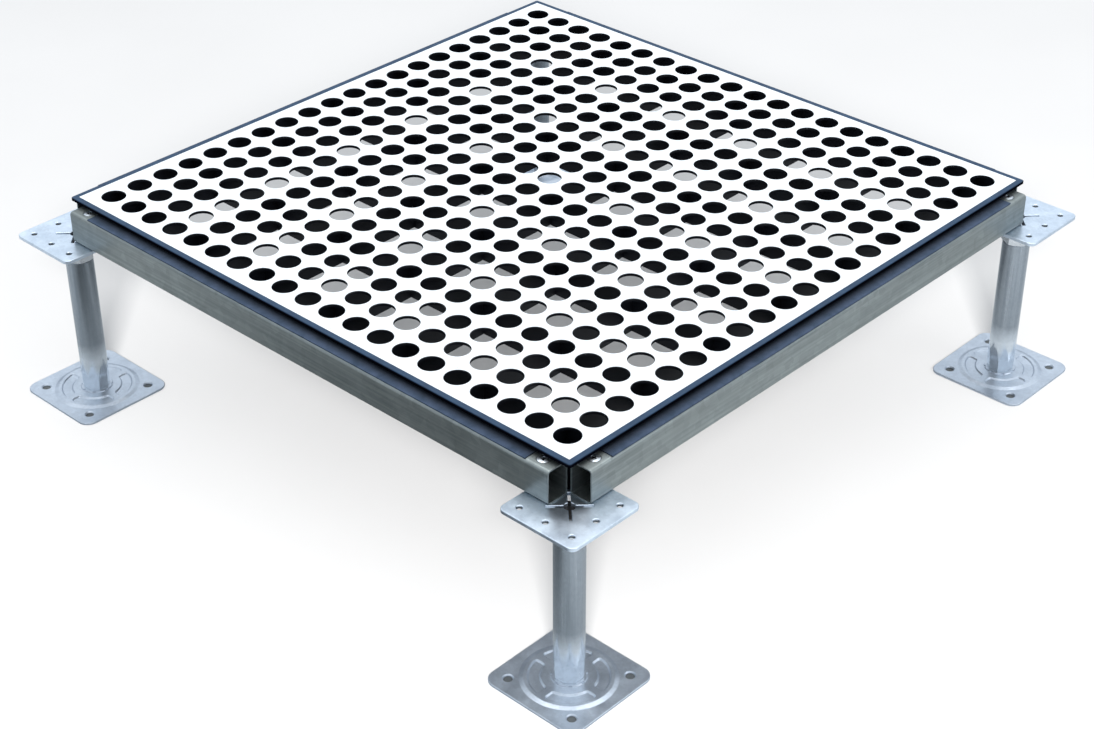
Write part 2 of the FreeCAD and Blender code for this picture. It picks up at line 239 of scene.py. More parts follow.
# %% Tools for finishes: relief
def relief(tree, shader, height, depth, strength, under=None):
    """Bumps of so many metres, on top of another relief if there is one."""
    node = tree.nodes.new("ShaderNodeBump")
    node.inputs["Distance"].default_value = depth
    node.inputs["Strength"].default_value = strength
    tree.links.new(height, node.inputs["Height"])
    if under is not None:
        tree.links.new(under, node.inputs["Normal"])
    tree.links.new(node.outputs["Normal"], shader.inputs["Normal"])
    return node.outputs["Normal"]


# %% [markdown]
# ## White laminate
#
# The covering is a high-pressure laminate: a printed paper face a tenth of a millimetre thick,
# over a black core. Only the face is white, so the walls of the 400 holes are black. Two
# materials could do that, but the mesh has one slot per node, so one recipe tells face and core
# apart by height. The anti-static pattern has two sizes of blue-grey fleck: separate specks
# from Voronoi cells, and faint torn wisps from noise.

# %% White laminate
face_depth = 0.08 * MM
specks_to_metre = 210


def make_laminate():
    material, tree, shader, place = new_finish("white_laminate", roughness=0.42)
    white, wisp_blue, speck_blue = (0.74, 0.77, 0.79), (0.52, 0.60, 0.66), (0.30, 0.36, 0.45)
    near = grains(tree, place, specks_to_metre, "Distance")
    speck = ramp(tree, near, [(0.0, 1.0), (0.12, 1.0), (0.20, 0.0)])
    chosen = ramp(tree, grains(tree, place, specks_to_metre), [(0.52, 0.0), (0.60, 1.0)])
    specks = sums(tree, "MULTIPLY", speck, chosen)
    drift = stretched(tree, place, (1.0, 1.6, 1.0))
    wisps = ramp(tree, cloud(tree, drift, 150, 4, 0.62), [(0.55, 0.0), (0.68, 1.0)])
    paper = blended(tree, sums(tree, "MULTIPLY", wisps, 0.22), white, wisp_blue)
    paper = blended(tree, sums(tree, "MULTIPLY", specks, 0.45), paper, speck_blue)
    core = (0.010, 0.010, 0.012)
    is_face = sums(tree, "GREATER_THAN", height_of(tree, place), tile_top - face_depth)
    tree.links.new(blended(tree, is_face, core, paper), shader.inputs["Base Color"])
    matt = ramp(tree, cloud(tree, place, 45, 3), [(0.3, 0.38), (0.7, 0.52)])
    tree.links.new(matt, shader.inputs["Roughness"])
    relief(tree, shader, cloud(tree, place, 900, 2), depth=0.02 * MM, strength=0.5)
    return material


dress(make_laminate(), "top_covering")

# %% [markdown]
# ## Edge trim
#
# Trim, pan and gasket sit side by side, and all three are nearly black, so their gloss and
# relief have to tell them apart. The trim is a satin plastic with a blue cast. Its upper face is
# painted a lighter blue-grey, as painted light from above, and its flank is painted nearly black
# and less glossy, as painted shade. A map of the strip could tell the two apart; height does it
# here, as in the laminate.

# %% Edge trim
lit_top_depth = 0.7 * MM


def make_trim_plastic():
    material, tree, shader, place = new_finish("trim_plastic")
    # Painted light and shade: the top face is painted a lighter blue and glossier, as if lit from
    # above, and the flank nearly black and less glossy.
    lit_top_tone = [(0.3, (0.008, 0.028, 0.065)), (0.7, (0.014, 0.046, 0.098))]
    lit_top_tone = ramp(tree, cloud(tree, place, 70, 4), lit_top_tone)
    lift = sums(tree, "SUBTRACT", height_of(tree, place), tile_top - lit_top_depth)
    is_lit_top = ramp(tree, sums(tree, "DIVIDE", lift, lit_top_depth), [(0.0, 0.0), (0.9, 1.0)])
    black = (0.0016, 0.0018, 0.0040)
    tree.links.new(blended(tree, is_lit_top, black, lit_top_tone), shader.inputs["Base Color"])
    tree.links.new(sums(tree, "MULTIPLY", is_lit_top, 0.30), shader.inputs["Specular IOR Level"])
    rub = ramp(tree, cloud(tree, place, 260, 3), [(0.35, 0.34), (0.75, 0.55)])
    tree.links.new(rub, shader.inputs["Roughness"])
    relief(tree, shader, cloud(tree, place, 1500, 2), depth=0.03 * MM, strength=0.5)
    return material


dress(make_trim_plastic(), *named("edge_trim"))

# %% [markdown]
# ## Powder-coated pan
#
# The pan is powder coated: plastic dust, melted on, which leaves a fine orange peel. One bump
# would give either the peel or the grit in it. Two are stacked, a coarse one under a fine one.
# The colour hardly varies, so most of what shows is gloss.


# %% Powder-coated pan
def make_powder_coat():
    material, tree, shader, place = new_finish("pan_powder_coat", roughness=0.50)
    shader.inputs["Specular IOR Level"].default_value = 0.15
    black = [(0.3, (0.003, 0.0035, 0.006)), (0.7, (0.006, 0.007, 0.011))]
    tree.links.new(ramp(tree, cloud(tree, place, 35, 3), black), shader.inputs["Base Color"])
    peel = relief(tree, shader, cloud(tree, place, 750, 1), depth=0.05 * MM, strength=0.6)
    relief(tree, shader, cloud(tree, place, 3200, 2), depth=0.01 * MM, strength=0.4, under=peel)
    return material


powder_coat = make_powder_coat()
dress(powder_coat, "top_plate", *named("side_rail"), *named("rib_"))

# %% [markdown]
# ## Foam gasket
#
# The gasket is a strip of closed-cell foam, dull and full of pores, which come from Voronoi
# cells. It is painted greyest along its outer edge and nearly black beside the pan, as painted
# shade where the trim overhangs it. Each strip could have a gradient of its own. One recipe
# serves all four instead, because the tone follows the distance from the tile's middle, measured
# on a square.

# %% Foam gasket
trim_shade_from = pedestal_axis["ne"].x - 3.0 * MM
trim_shade_width = 11.0 * MM


def off_centre(tree, place):
    """How far out each point is, on a square round the tile's centre."""
    node = tree.nodes.new("ShaderNodeSeparateXYZ")
    tree.links.new(place, node.inputs[0])
    sides = [sums(tree, "ABSOLUTE", node.outputs[name], 0.0) for name in "XY"]
    return sums(tree, "MAXIMUM", *sides)


def make_gasket_foam():
    material, tree, shader, place = new_finish("gasket_foam", roughness=0.85)
    shader.inputs["Specular IOR Level"].default_value = 0.3
    slate = [(0.3, (0.024, 0.043, 0.075)), (0.7, (0.048, 0.071, 0.120))]
    slate = ramp(tree, cloud(tree, place, 120, 5), slate)
    # Painted shade: the strip is painted darker towards the pan, where the trim shades it, and
    # lightest at its outer edge.
    outward = sums(tree, "SUBTRACT", off_centre(tree, place), trim_shade_from)
    outward = sums(tree, "DIVIDE", outward, trim_shade_width)
    trim_shade = ramp(tree, outward, [(0.0, 0.16), (0.45, 0.35), (1.0, 1.0)])
    tree.links.new(blended(tree, 1.0, slate, trim_shade, "MULTIPLY"), shader.inputs["Base Color"])
    pores = ramp(tree, grains(tree, place, 1300, "Distance"), [(0.10, 0.0), (0.45, 1.0)])
    relief(tree, shader, pores, depth=0.12 * MM, strength=0.8)
    return material


dress(make_gasket_foam(), *named("gasket"))

# %% [markdown]
# ## Galvanised stringers
#
# Strip-galvanised tube is dull and greenish grey, with rolling lines along its length. The
# lines have to run along each tube, so there is one material for the two that lie along X and
# one for the two along Y: the same recipe, with its coordinates stretched the other way. No
# sheared edge is really sharp. Rounding each one in the mesh would cost many faces, so a Bevel
# node only turns the shading over the edge.


# %% Stringer steel
def broken_edges(tree, radius):
    """Normals that turn over each edge on a small radius."""
    node = tree.nodes.new("ShaderNodeBevel")
    node.samples = 4
    node.inputs["Radius"].default_value = radius
    return node.outputs["Normal"]


def make_stringer_steel(name, along):
    material, tree, shader, place = new_finish(name, metallic=0.90)
    lines = cloud(tree, stretched(tree, place, along), 1.0, 4, 0.6)
    stains = cloud(tree, place, 28, 5, 0.6)
    tone = ramp(tree, lines, [(0.30, (0.22, 0.25, 0.25)), (0.70, (0.34, 0.375, 0.37))])
    stained = ramp(tree, stains, [(0.42, 0.0), (0.72, 0.6)])
    tone = blended(tree, stained, tone, (0.29, 0.315, 0.31))
    crystal = ramp(tree, grains(tree, place, 140), [(0.0, 0.82), (1.0, 1.0)])
    tree.links.new(blended(tree, 1.0, tone, crystal, "MULTIPLY"), shader.inputs["Base Color"])
    rough = ramp(tree, stains, [(0.30, 0.34), (0.70, 0.52)])
    tree.links.new(rough, shader.inputs["Roughness"])
    edges = broken_edges(tree, 0.3 * MM)
    relief(tree, shader, lines, depth=0.03 * MM, strength=0.5, under=edges)
    return material


steel_x = make_stringer_steel("stringer_steel_x", (7, 420, 420))
steel_y = make_stringer_steel("stringer_steel_y", (420, 7, 420))
dress(steel_x, "stringer_south", "stringer_north")
dress(steel_y, "stringer_east", "stringer_west")

# %% [markdown]
# ## Zinc plating
#
# The pedestals and fasteners are zinc plated, brighter and bluer than the stringers. A bare
# metallic shader looks like chrome, so most of this look is roughness that changes in patches,
# over a fine crystalline grain. The head plates are the brightest, the pressed feet are satin,
# and the tubes carry drawing lines up their length. The foot of a tube is painted lighter up to
# a set height, as a painted reflection of the bright foot plate below it.

# %% Zinc plating
painted_reflection_height = 0.036


def make_zinc(name, dark, light, smooth, dull, metallic=1.0, grain=(1, 1, 1), reflection_height=0.0):
    material, tree, shader, place = new_finish(name, metallic=metallic)
    patches = cloud(tree, stretched(tree, place, grain), 55, 5, 0.6)
    tone = ramp(tree, patches, [(0.30, dark), (0.70, light)])
    # Painted reflection: the foot of the tube is painted lighter up to a height, standing in for
    # the bright base plate that it reflects.
    if reflection_height:
        above = sums(tree, "SUBTRACT", height_of(tree, place), reflection_height)
        above = sums(tree, "DIVIDE", above, 0.5 * reflection_height)
        is_painted_reflection = ramp(tree, above, [(0.0, 1.0), (1.0, 0.0)])
        tone = blended(tree, is_painted_reflection, tone, (0.80, 0.86, 0.92))
    crystal = ramp(tree, grains(tree, place, 420), [(0.0, 0.88), (1.0, 1.0)])
    tree.links.new(blended(tree, 1.0, tone, crystal, "MULTIPLY"), shader.inputs["Base Color"])
    tree.links.new(ramp(tree, patches, [(0.30, smooth), (0.70, dull)]), shader.inputs["Roughness"])
    edges = broken_edges(tree, 0.35 * MM)
    relief(tree, shader, cloud(tree, place, 1400, 3), depth=0.012 * MM, strength=0.4, under=edges)
    return material


head_zinc = make_zinc(
    "head_zinc", (0.64, 0.73, 0.84), (0.76, 0.85, 0.95), smooth=0.30, dull=0.44)
foot_zinc = make_zinc(
    "foot_zinc", (0.47, 0.53, 0.61), (0.60, 0.665, 0.75), smooth=0.30, dull=0.48, metallic=0.80)
tube_zinc = make_zinc(
    "tube_zinc", (0.29, 0.33, 0.37), (0.43, 0.475, 0.52), smooth=0.14, dull=0.28, metallic=0.95,
    grain=(5.0, 5.0, 0.12), reflection_height=painted_reflection_height)
bright_zinc = make_zinc(
    "bright_zinc", (0.66, 0.69, 0.72), (0.82, 0.85, 0.88), smooth=0.20, dull=0.34)
dress(head_zinc, *named("head_plate"))
dress(foot_zinc, *named("base_plate"))
dress(tube_zinc, *named("pedestal_tube"))
dress(bright_zinc, *named("levelling_nut"))

# %% [markdown]
# ## From a bmesh to a piece
#
# The pieces below are built with bmesh operators, which need no selection or edit mode. When a
# shape is done, its doubles are merged and its normals are recalculated, because spinning can
# turn a surface inside out. Cuts and booleans give the same shape each time but list it in
# another order, so points and faces are sorted, and every run gives the same mesh. Then the piece
# rides on a body of the frame, so that it moves with it.

# %% A finished piece
SHARP = math.radians(38)


def sorted_mesh(name, edit):
    """The mesh of a bmesh, with its points sorted by place and its faces by their points."""
    points = sorted(edit.verts, key=lambda vert: tuple(vert.co))
    rank = {vert: number for number, vert in enumerate(points)}
    faces = []
    for face in edit.faces:
        loop = [rank[vert] for vert in face.verts]
        first = loop.index(min(loop))
        faces.append(loop[first:] + loop[:first])
    mesh = bpy.data.meshes.new(name)
    mesh.from_pydata([vert.co for vert in points], [], sorted(faces))
    return mesh


def new_piece(name, edit, finish, body, replaced=()):
    """Turns a bmesh into a piece that rides on a body, and frees the bmesh."""
    bmesh.ops.remove_doubles(edit, verts=edit.verts, dist=0.001 * MM)
    bmesh.ops.recalc_face_normals(edit, faces=edit.faces)
    mesh = sorted_mesh(name, edit)
    edit.free()
    mesh.shade_smooth()
    mesh.set_sharp_from_angle(angle=SHARP)
    mesh.materials.append(finish)
    piece = bpy.data.objects.new(name, mesh)
    bpy.context.scene.collection.objects.link(piece)
    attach(piece, body)
    if replaced:
        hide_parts(*replaced)
    print(name, "rides on", body, "with", len(mesh.polygons), "faces")


def copied_into(edit, source, matrix):
    """Adds a copy of one bmesh to another, moved by a matrix."""
    mesh = bpy.data.meshes.new("copy")
    source.to_mesh(mesh)
    mesh.transform(matrix)
    edit.from_mesh(mesh)
    bpy.data.meshes.remove(mesh)


# %% [markdown]
# ## Screw threads
#
# A thread is one groove's outline carried round and up. The Screw modifier can do it, but
# bmesh.ops.spin is enough: its dvec moves each step up a little, so a full turn climbs one
# pitch. One pitch of outline, spun for many turns, meets itself and closes into a threaded rod
# once its doubles are merged. The rod is made too long, and two bisecting planes cut it off
# square.

# %% Threaded rod
TURNED_DOUBLES = 0.002 * MM


def threaded_rod(major, minor, pitch, low, high, steps=20):
    """A rod about Z with an ISO thread, from one height to another, as a bmesh."""
    edit = bmesh.new()
    start = low - pitch
    outline = [(minor, 0.0), (minor, 0.25), (major, 0.5625), (major, 0.6875), (minor, 1.0)]
    points = [edit.verts.new((radius, 0.0, start + share * pitch)) for radius, share in outline]
    edges = [edit.edges.new(pair) for pair in zip(points, points[1:])]
    turns = math.ceil((high - low) / pitch) + 2
    bmesh.ops.spin(
        edit, geom=points + edges, cent=(0, 0, 0), axis=(0, 0, 1), dvec=(0, 0, pitch / steps),
        angle=math.tau * turns, steps=steps * turns)
    bmesh.ops.remove_doubles(edit, verts=edit.verts, dist=TURNED_DOUBLES)
    for height, side in ((low, -1), (high, 1)):
        bmesh.ops.bisect_plane(
            edit, geom=edit.verts[:] + edit.edges[:] + edit.faces[:], plane_co=(0, 0, height),
            plane_no=(0, 0, side), clear_outer=True)
        rim = [edge for edge in edit.edges if edge.is_boundary]
        rim = [edge for edge in rim if abs(edge.verts[0].co.z - height) < 0.01 * MM]
        bmesh.ops.contextual_create(edit, geom=rim)
    return edit


def point_end(edit, height, radius):
    """Chamfers the lower end: nothing there is wider than a cone of 45 degrees."""
    for vert in edit.verts:
        most = radius + vert.co.z - height
        reach = vert.co.xy.length
        if reach > most:
            vert.co.x *= most / reach
            vert.co.y *= most / reach


# %% [markdown]
# ## Studs
#
# Each pedestal hangs on an M16 stud, welded under its head plate. It passes through the
# levelling nut, and shows between nut and plate. The weld is a ring with ripples, one for each
# short advance of the welder: a circle is spun round the stud, and its points are then pushed in
# and out with the angle. A bisecting plane trims it where it meets the plate, and a bridge
# between the two rims closes it. The heat burnt the plating off there, so the stud's finish
# turns dull and brown within a few millimetres of it.

# %% Stud finish
burnt_reach = 10.0 * MM


def make_stud_zinc():
    material, tree, shader, place = new_finish("stud_zinc", metallic=1.0)
    patches = cloud(tree, place, 160, 4)
    plating = ramp(tree, patches, [(0.3, (0.50, 0.52, 0.54)), (0.7, (0.70, 0.72, 0.74))])
    below = sums(tree, "SUBTRACT", head_bottom, height_of(tree, place))
    below = sums(tree, "ADD", below, sums(tree, "MULTIPLY", patches, 3.0 * MM))
    burnt = ramp(tree, sums(tree, "DIVIDE", below, burnt_reach), [(0.30, 1.0), (0.75, 0.0)])
    tone = blended(tree, burnt, plating, (0.055, 0.050, 0.048))
    tree.links.new(tone, shader.inputs["Base Color"])
    tree.links.new(ramp(tree, burnt, [(0.0, 0.26), (1.0, 0.55)]), shader.inputs["Roughness"])
    relief(tree, shader, cloud(tree, place, 1600, 3), depth=0.02 * MM, strength=0.4)
    return material


stud_zinc = make_stud_zinc()
print("finish:", stud_zinc.name)


# %% Weld bead
def weld_ring(edit, radius, height, bead, ripples):
    """A rippled weld bead round the Z axis, just under a height."""
    ring = bmesh.new()
    turned_up = Matrix.Translation((radius, 0, height)) @ Matrix.Rotation(math.pi / 2, 4, "X")
    bmesh.ops.create_circle(ring, segments=10, radius=bead, matrix=turned_up)
    bmesh.ops.spin(
        ring, geom=ring.verts[:] + ring.edges[:], cent=(0, 0, 0), axis=(0, 0, 1),
        angle=math.tau, steps=120, use_merge=True)
    for vert in ring.verts:
        angle = math.atan2(vert.co.y, vert.co.x)
        swell = 1.0 + 0.05 * abs(math.sin(angle * ripples / 2)) + 0.02 * math.sin(angle * 3)
        vert.co.x *= swell
        vert.co.y *= swell
        vert.co.z = height + (vert.co.z - height) * swell
    bmesh.ops.bisect_plane(
        ring, geom=ring.verts[:] + ring.edges[:] + ring.faces[:], plane_co=(0, 0, height),
        plane_no=(0, 0, 1), clear_outer=True)
    bmesh.ops.bridge_loops(ring, edges=[edge for edge in ring.edges if edge.is_boundary])
    copied_into(edit, ring, Matrix.Identity(4))
    ring.free()


# %% Studs and their welds
stud_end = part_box("threaded_stud_sw")[0].z
stud = threaded_rod(
    major=7.98 * MM, minor=6.92 * MM, pitch=2.0 * MM, low=stud_end, high=head_bottom)
point_end(stud, stud_end, radius=6.5 * MM)
weld_ring(stud, radius=8.3 * MM, height=head_bottom - 0.02 * MM, bead=2.1 * MM, ripples=26)
for corner, axis in pedestal_axis.items():
    rod = bmesh.new()
    copied_into(rod, stud, Matrix.Translation((axis.x, axis.y, 0)))
    replaced = ["threaded_stud_" + corner]
    new_piece("welded_stud_" + corner, rod, stud_zinc, "floor_tile", replaced)
stud.free()

# %% [markdown]
# ## Cross-recess screws
#
# Two M6 countersunk screws at each corner hold the stringers down. The head is turned by
# spinning half of its outline, slightly domed on top. The cross recess is cut with two tapered
# blades and a centre point. A boolean does that more cleanly than moving vertices, and it is
# applied at once, on the head alone, before the threaded shank is added. The screw has its own
# finish: bright on the dome, and painted near black wherever it is deeper, as painted shade in
# the recess and the countersink.


# %% Cutting with a boolean
def tapered_blade(length, width, depth, taper):
    """One blade of the cross cutter, shorter and narrower at its lower end."""
    blade = bmesh.new()
    shape = Matrix.Diagonal((length, width, depth * 2, 1.0))
    bmesh.ops.create_cube(blade, size=1.0, matrix=shape)
    for vert in blade.verts:
        if vert.co.z < 0:
            vert.co.x *= taper[0]
            vert.co.y *= taper[1]
    return blade


def cut_away(edit, cutter):
    """The bmesh less the cutter, by an exact boolean; both are used up."""
    pair = []
    for shape in (edit, cutter):
        bmesh.ops.recalc_face_normals(shape, faces=shape.faces)
        mesh = bpy.data.meshes.new("boolean")
        shape.to_mesh(mesh)
        shape.free()
        pair.append(bpy.data.objects.new("boolean", mesh))
        bpy.context.scene.collection.objects.link(pair[-1])
    body, tool = pair
    boolean = body.modifiers.new("cut", "BOOLEAN")
    boolean.object = tool
    boolean.solver = "EXACT"
    result = bmesh.new()
    result.from_object(body, bpy.context.evaluated_depsgraph_get())
    for item in pair:
        bpy.data.meshes.remove(item.data)
    return result


# %% Screw head
def screw_head(radius, dome, core):
    """A domed countersunk head with a cross recess, its rim at the origin's height."""
    head = bmesh.new()
    rim = 0.25 * MM
    outline = [(0, dome), (0.45 * radius, 0.86 * dome), (0.8 * radius, 0.42 * dome), (radius, 0),
               (radius, -rim), (core, core - radius - rim), (0, core - radius - rim)]
    points = [head.verts.new((reach, 0, height)) for reach, height in outline]
    edges = [head.edges.new(pair) for pair in zip(points, points[1:])]
    bmesh.ops.spin(
        head, geom=points + edges, cent=(0, 0, 0), axis=(0, 0, 1), angle=math.tau, steps=40,
        use_merge=True)
    bmesh.ops.remove_doubles(head, verts=head.verts, dist=TURNED_DOUBLES)
    for turn in (0, math.pi / 2):
        blade = tapered_blade(length=6.8 * MM, width=1.7 * MM, depth=2.4 * MM, taper=(0.5, 0.8))
        bmesh.ops.rotate(blade, verts=blade.verts, matrix=Matrix.Rotation(turn, 3, "Z"))
        head = cut_away(head, blade)
    point = bmesh.new()
    bmesh.ops.create_cone(
        point, cap_ends=True, segments=12, radius1=0.3 * MM, radius2=1.4 * MM, depth=3.4 * MM,
        matrix=Matrix.Translation((0, 0, -1.0 * MM)))
    return cut_away(head, point)


# A head at the origin's height, and a shank that reaches down from it.
screw_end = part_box("stringer_screws_sw")[0].z - stringer_top
screw = screw_head(radius=5.1 * MM, dome=0.5 * MM, core=2.6 * MM)
shank = threaded_rod(
    major=2.98 * MM, minor=2.42 * MM, pitch=1.0 * MM, low=screw_end, high=-3.0 * MM, steps=14)
point_end(shank, screw_end, radius=2.2 * MM)
copied_into(screw, shank, Matrix.Identity(4))
shank.free()
print("screw:", len(screw.faces), "faces")


# %% Screw finish
def make_screw_zinc():
    material, tree, shader, place = new_finish("screw_zinc", metallic=1.0)
    patches = cloud(tree, place, 500, 3)
    # Painted shade: everything lower than the head's rim, in the recess and the countersink, is
    # painted near black.
    depth = sums(tree, "SUBTRACT", stringer_top + 0.05 * MM, height_of(tree, place))
    recess_shade = ramp(tree, sums(tree, "DIVIDE", depth, 1.0 * MM), [(0.30, 0.0), (0.50, 1.0)])
    plating = ramp(tree, patches, [(0.3, (0.54, 0.59, 0.64)), (0.7, (0.72, 0.77, 0.82))])
    tone = blended(tree, recess_shade, plating, (0.03, 0.032, 0.036))
    tree.links.new(tone, shader.inputs["Base Color"])
    tree.links.new(ramp(tree, patches, [(0.3, 0.28), (0.7, 0.42)]), shader.inputs["Roughness"])
    relief(tree, shader, cloud(tree, place, 1800, 2), depth=0.01 * MM, strength=0.4)
    return material


screw_zinc = make_screw_zinc()
print("finish:", screw_zinc.name)

# %% Screws in place
hole_row = 26.0 * MM
sunk = 0.15 * MM
random.seed(4)
for corner, axis in pedestal_axis.items():
    pair = bmesh.new()
    inward = [-math.copysign(hole_row, along) for along in axis]
    for place in (axis + Vector((inward[0], 0)), axis + Vector((0, inward[1]))):
        spot = Matrix.Translation((place.x, place.y, stringer_top - sunk))
        copied_into(pair, screw, spot @ Matrix.Rotation(random.uniform(0, math.tau), 4, "Z"))
    name = "cross_screws_" + corner
    new_piece(name, pair, screw_zinc, "floor_tile", ["stringer_screws_" + corner])
screw.free()

# %% [markdown]
# ## Tapped holes
#
# Each head plate has eight tapped holes round the stud. Two take this bay's screws, and six
# stay free for the next bay. Their walls are ridged and catch little light. A ridge is a small
# triangle spun up the wall of the hole, with its root buried in the plate. Its dark finish is
# partly cutting oil and partly painted shade, because the hole lies in shadow.


# %% Oiled thread, partly painted shade
def make_oiled_shaded_thread():
    material, tree, shader, place = new_finish("oiled_shaded_thread", metallic=1.0)
    # Painted shade mixed with oil: the thread is painted dark partly because it lies in shadow.
    oil_and_shade = [(0.3, (0.05, 0.055, 0.06)), (0.7, (0.16, 0.17, 0.18))]
    tree.links.new(ramp(tree, cloud(tree, place, 900, 3), oil_and_shade), shader.inputs["Base Color"])
    matt = ramp(tree, cloud(tree, place, 600, 2), [(0.3, 0.35), (0.7, 0.6)])
    tree.links.new(matt, shader.inputs["Roughness"])
    return material


oiled_shaded_thread = make_oiled_shaded_thread()
print("finish:", oiled_shaded_thread.name)


# %% Tapped holes
def tapped_ridge(root, crest, pitch, low, high, steps=14):
    """One inward helical ridge between two heights, about Z."""
    edit = bmesh.new()
    outline = [(root, 0.02), (crest, 0.5), (root, 0.98)]
    points = [edit.verts.new((radius, 0, low + share * pitch)) for radius, share in outline]
    edges = [edit.edges.new((points[i], points[(i + 1) % 3])) for i in range(3)]
    first = edit.faces.new(points)
    turns = (high - low) / pitch - 1.0
    all_steps = round(steps * turns)
    bmesh.ops.spin(
        edit, geom=points + edges + [first], cent=(0, 0, 0), axis=(0, 0, 1),
        dvec=(0, 0, turns * pitch / all_steps), angle=math.tau * turns, steps=all_steps)
    return edit


rows = (-hole_row, 0.0, hole_row)
ridge = tapped_ridge(
    root=2.54 * MM, crest=2.22 * MM, pitch=0.8 * MM, low=head_bottom + 0.1 * MM,
    high=head_top - 0.5 * MM)
for corner, axis in pedestal_axis.items():
    holes = bmesh.new()
    inward = [-math.copysign(hole_row, along) for along in axis]
    taken = ((0.0, 0.0), (inward[0], 0.0), (0.0, inward[1]))
    for x, y in ((x, y) for x in rows for y in rows if (x, y) not in taken):
        copied_into(holes, ridge, Matrix.Translation((axis.x + x, axis.y + y, 0)))
    new_piece("tapped_holes_" + corner, holes, oiled_shaded_thread, "floor_tile")
ridge.free()

# %% [markdown]
# ## Tack welds in the pan
#
# Seen from below, the egg-crate is tacked where its bars cross and where they meet the rails.
# A tack is a lump a few millimetres across, under the same powder coat. A sphere with few faces,
# flattened and squeezed into the corner, is enough for one, and no two are alike.

# %% Tack welds
cross_size = 1.5 * MM
rail_size = 1.8 * MM
bar_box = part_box("rib_east_west_1")
pan_bottom = bar_box[0].z
bar_end = bar_box[1].x
half_bar = (bar_box[1].y - bar_box[0].y) / 2
rows_y = [middle(name).y for name in named("rib_east_west_")]
rows_x = [middle(name).x for name in named("rib_north_south_")]


def above_pan(low, high):
    """A height somewhere between two, in millimetres over the lower edge of the bars."""
    return pan_bottom + random.uniform(low, high) * MM


def tack(edit, place, size):
    """A lump of weld, flattened against the bars."""
    low, high = (0.9, 0.9, 1.2), (1.3, 1.3, 2.0)
    squash = Matrix.Diagonal((*map(random.uniform, low, high), 1.0))
    bmesh.ops.create_icosphere(
        edit, subdivisions=2, radius=size, matrix=Matrix.Translation(place) @ squash)


random.seed(11)
tacks = bmesh.new()
for y in rows_y:
    for x in rows_x:
        side = random.choice((-1, 1))
        tack(tacks, (x + side * half_bar, y + half_bar, above_pan(3, 8)), cross_size)
    for end in (-bar_end, bar_end):
        tack(tacks, (end, y + half_bar, above_pan(4, 10)), rail_size)
for x in rows_x:
    for end in (-bar_end, bar_end):
        tack(tacks, (x + half_bar, end, above_pan(4, 10)), rail_size)
new_piece("tack_welds", tacks, powder_coat, "floor_tile")

# %% [markdown]
# ## Studio floor
#
# The tile stands on a plain pale floor. A backdrop that curves up behind it would do as well,
# but the camera looks down, so a large disc fills the picture. Metal needs something dark to
# reflect, or it has no shape. So the floor is painted a darker grey for reflected rays only, a
# painted reflection that is darkest at the left, as if a black card lay there. The Light Path
# node tells the two apart.


# %% Floor paint
def distance_to(tree, place, spot):
    """How far each point is from a spot."""
    node = tree.nodes.new("ShaderNodeVectorMath")
    node.operation = "DISTANCE"
    node.inputs[1].default_value = spot
    tree.links.new(place, node.inputs[0])
    return node.outputs["Value"]


def make_floor_paint():
    material, tree, shader, place = new_finish("floor_paint", roughness=0.9)
    shader.inputs["Specular IOR Level"].default_value = 0.1
    pale = [(0.3, (0.62, 0.605, 0.592)), (0.7, (0.64, 0.625, 0.612))]
    pale = ramp(tree, cloud(tree, place, 3, 3), pale)
    # Painted reflection: reflected rays see the floor painted dark, darkest near a spot on the
    # left.
    from_painted_dark_spot = distance_to(tree, place, (-0.55, -0.02, 0.0))
    uneven = sums(tree, "MULTIPLY", cloud(tree, place, 5, 3), 0.20)
    tones = [(0.20, (0.027, 0.031, 0.033)), (0.30, (0.106, 0.114, 0.118)),
             (0.41, (0.235, 0.25, 0.258)), (0.55, (0.365, 0.38, 0.388)),
             (0.70, (0.43, 0.445, 0.453))]
    dark = ramp(tree, sums(tree, "ADD", from_painted_dark_spot, uneven), tones)
    reflected = tree.nodes.new("ShaderNodeLightPath").outputs["Is Glossy Ray"]
    tree.links.new(blended(tree, reflected, pale, dark), shader.inputs["Base Color"])
    return material


floor_paint = make_floor_paint()
print("finish:", floor_paint.name)


# %% Floor
def set_up(name, edit, material):
    """An object with one material, linked into the scene."""
    mesh = bpy.data.meshes.new(name)
    edit.to_mesh(mesh)
    edit.free()
    mesh.materials.append(material)
    obj = bpy.data.objects.new(name, mesh)
    bpy.context.scene.collection.objects.link(obj)
    print(name, "is %.3f m across" % max(obj.dimensions))
    return obj


floor_radius = 9.0
disc = bmesh.new()
bmesh.ops.create_circle(disc, cap_ends=True, segments=96, radius=floor_radius)
floor = set_up("floor", disc, floor_paint)

# %% [markdown]
# ## A floor that follows the feet
#
# A pedestal grows downwards from the tile, because the tile is the body that stays still. The
# floor has to follow the lowest foot. Keyframes would suit one pose only. Blender's Floor
# constraint suits them all: each foot is a ceiling for the floor, which starts above them all.
# At rest that puts it at height nothing.

# %% The floor follows the lowest foot
floor.location.z = tile_top
for corner in CORNERS:
    ceiling = floor.constraints.new("FLOOR")
    ceiling.target = bpy.data.objects["base_plate_" + corner]
    ceiling.floor_location = "FLOOR_NEGATIVE_Z"
bpy.context.view_layer.update()
print("floor at %.4f m" % floor.matrix_world.translation.z)

# %% [markdown]
# ## Dark cards as painted shade
#
# The anchor holes of the feet would show the pale floor. Painting shade onto the floor would fix
# it in one place. So a dark card lies inside the underside of each foot, as painted shade, where
# only the holes of the foot show it, and it moves with the foot.

# %% Dark cards in the feet, as painted shade
half_card = 42 * MM
card_height = 0.2 * MM
painted_shade_card, _, shader, _ = new_finish("painted_shade_card", roughness=0.9)
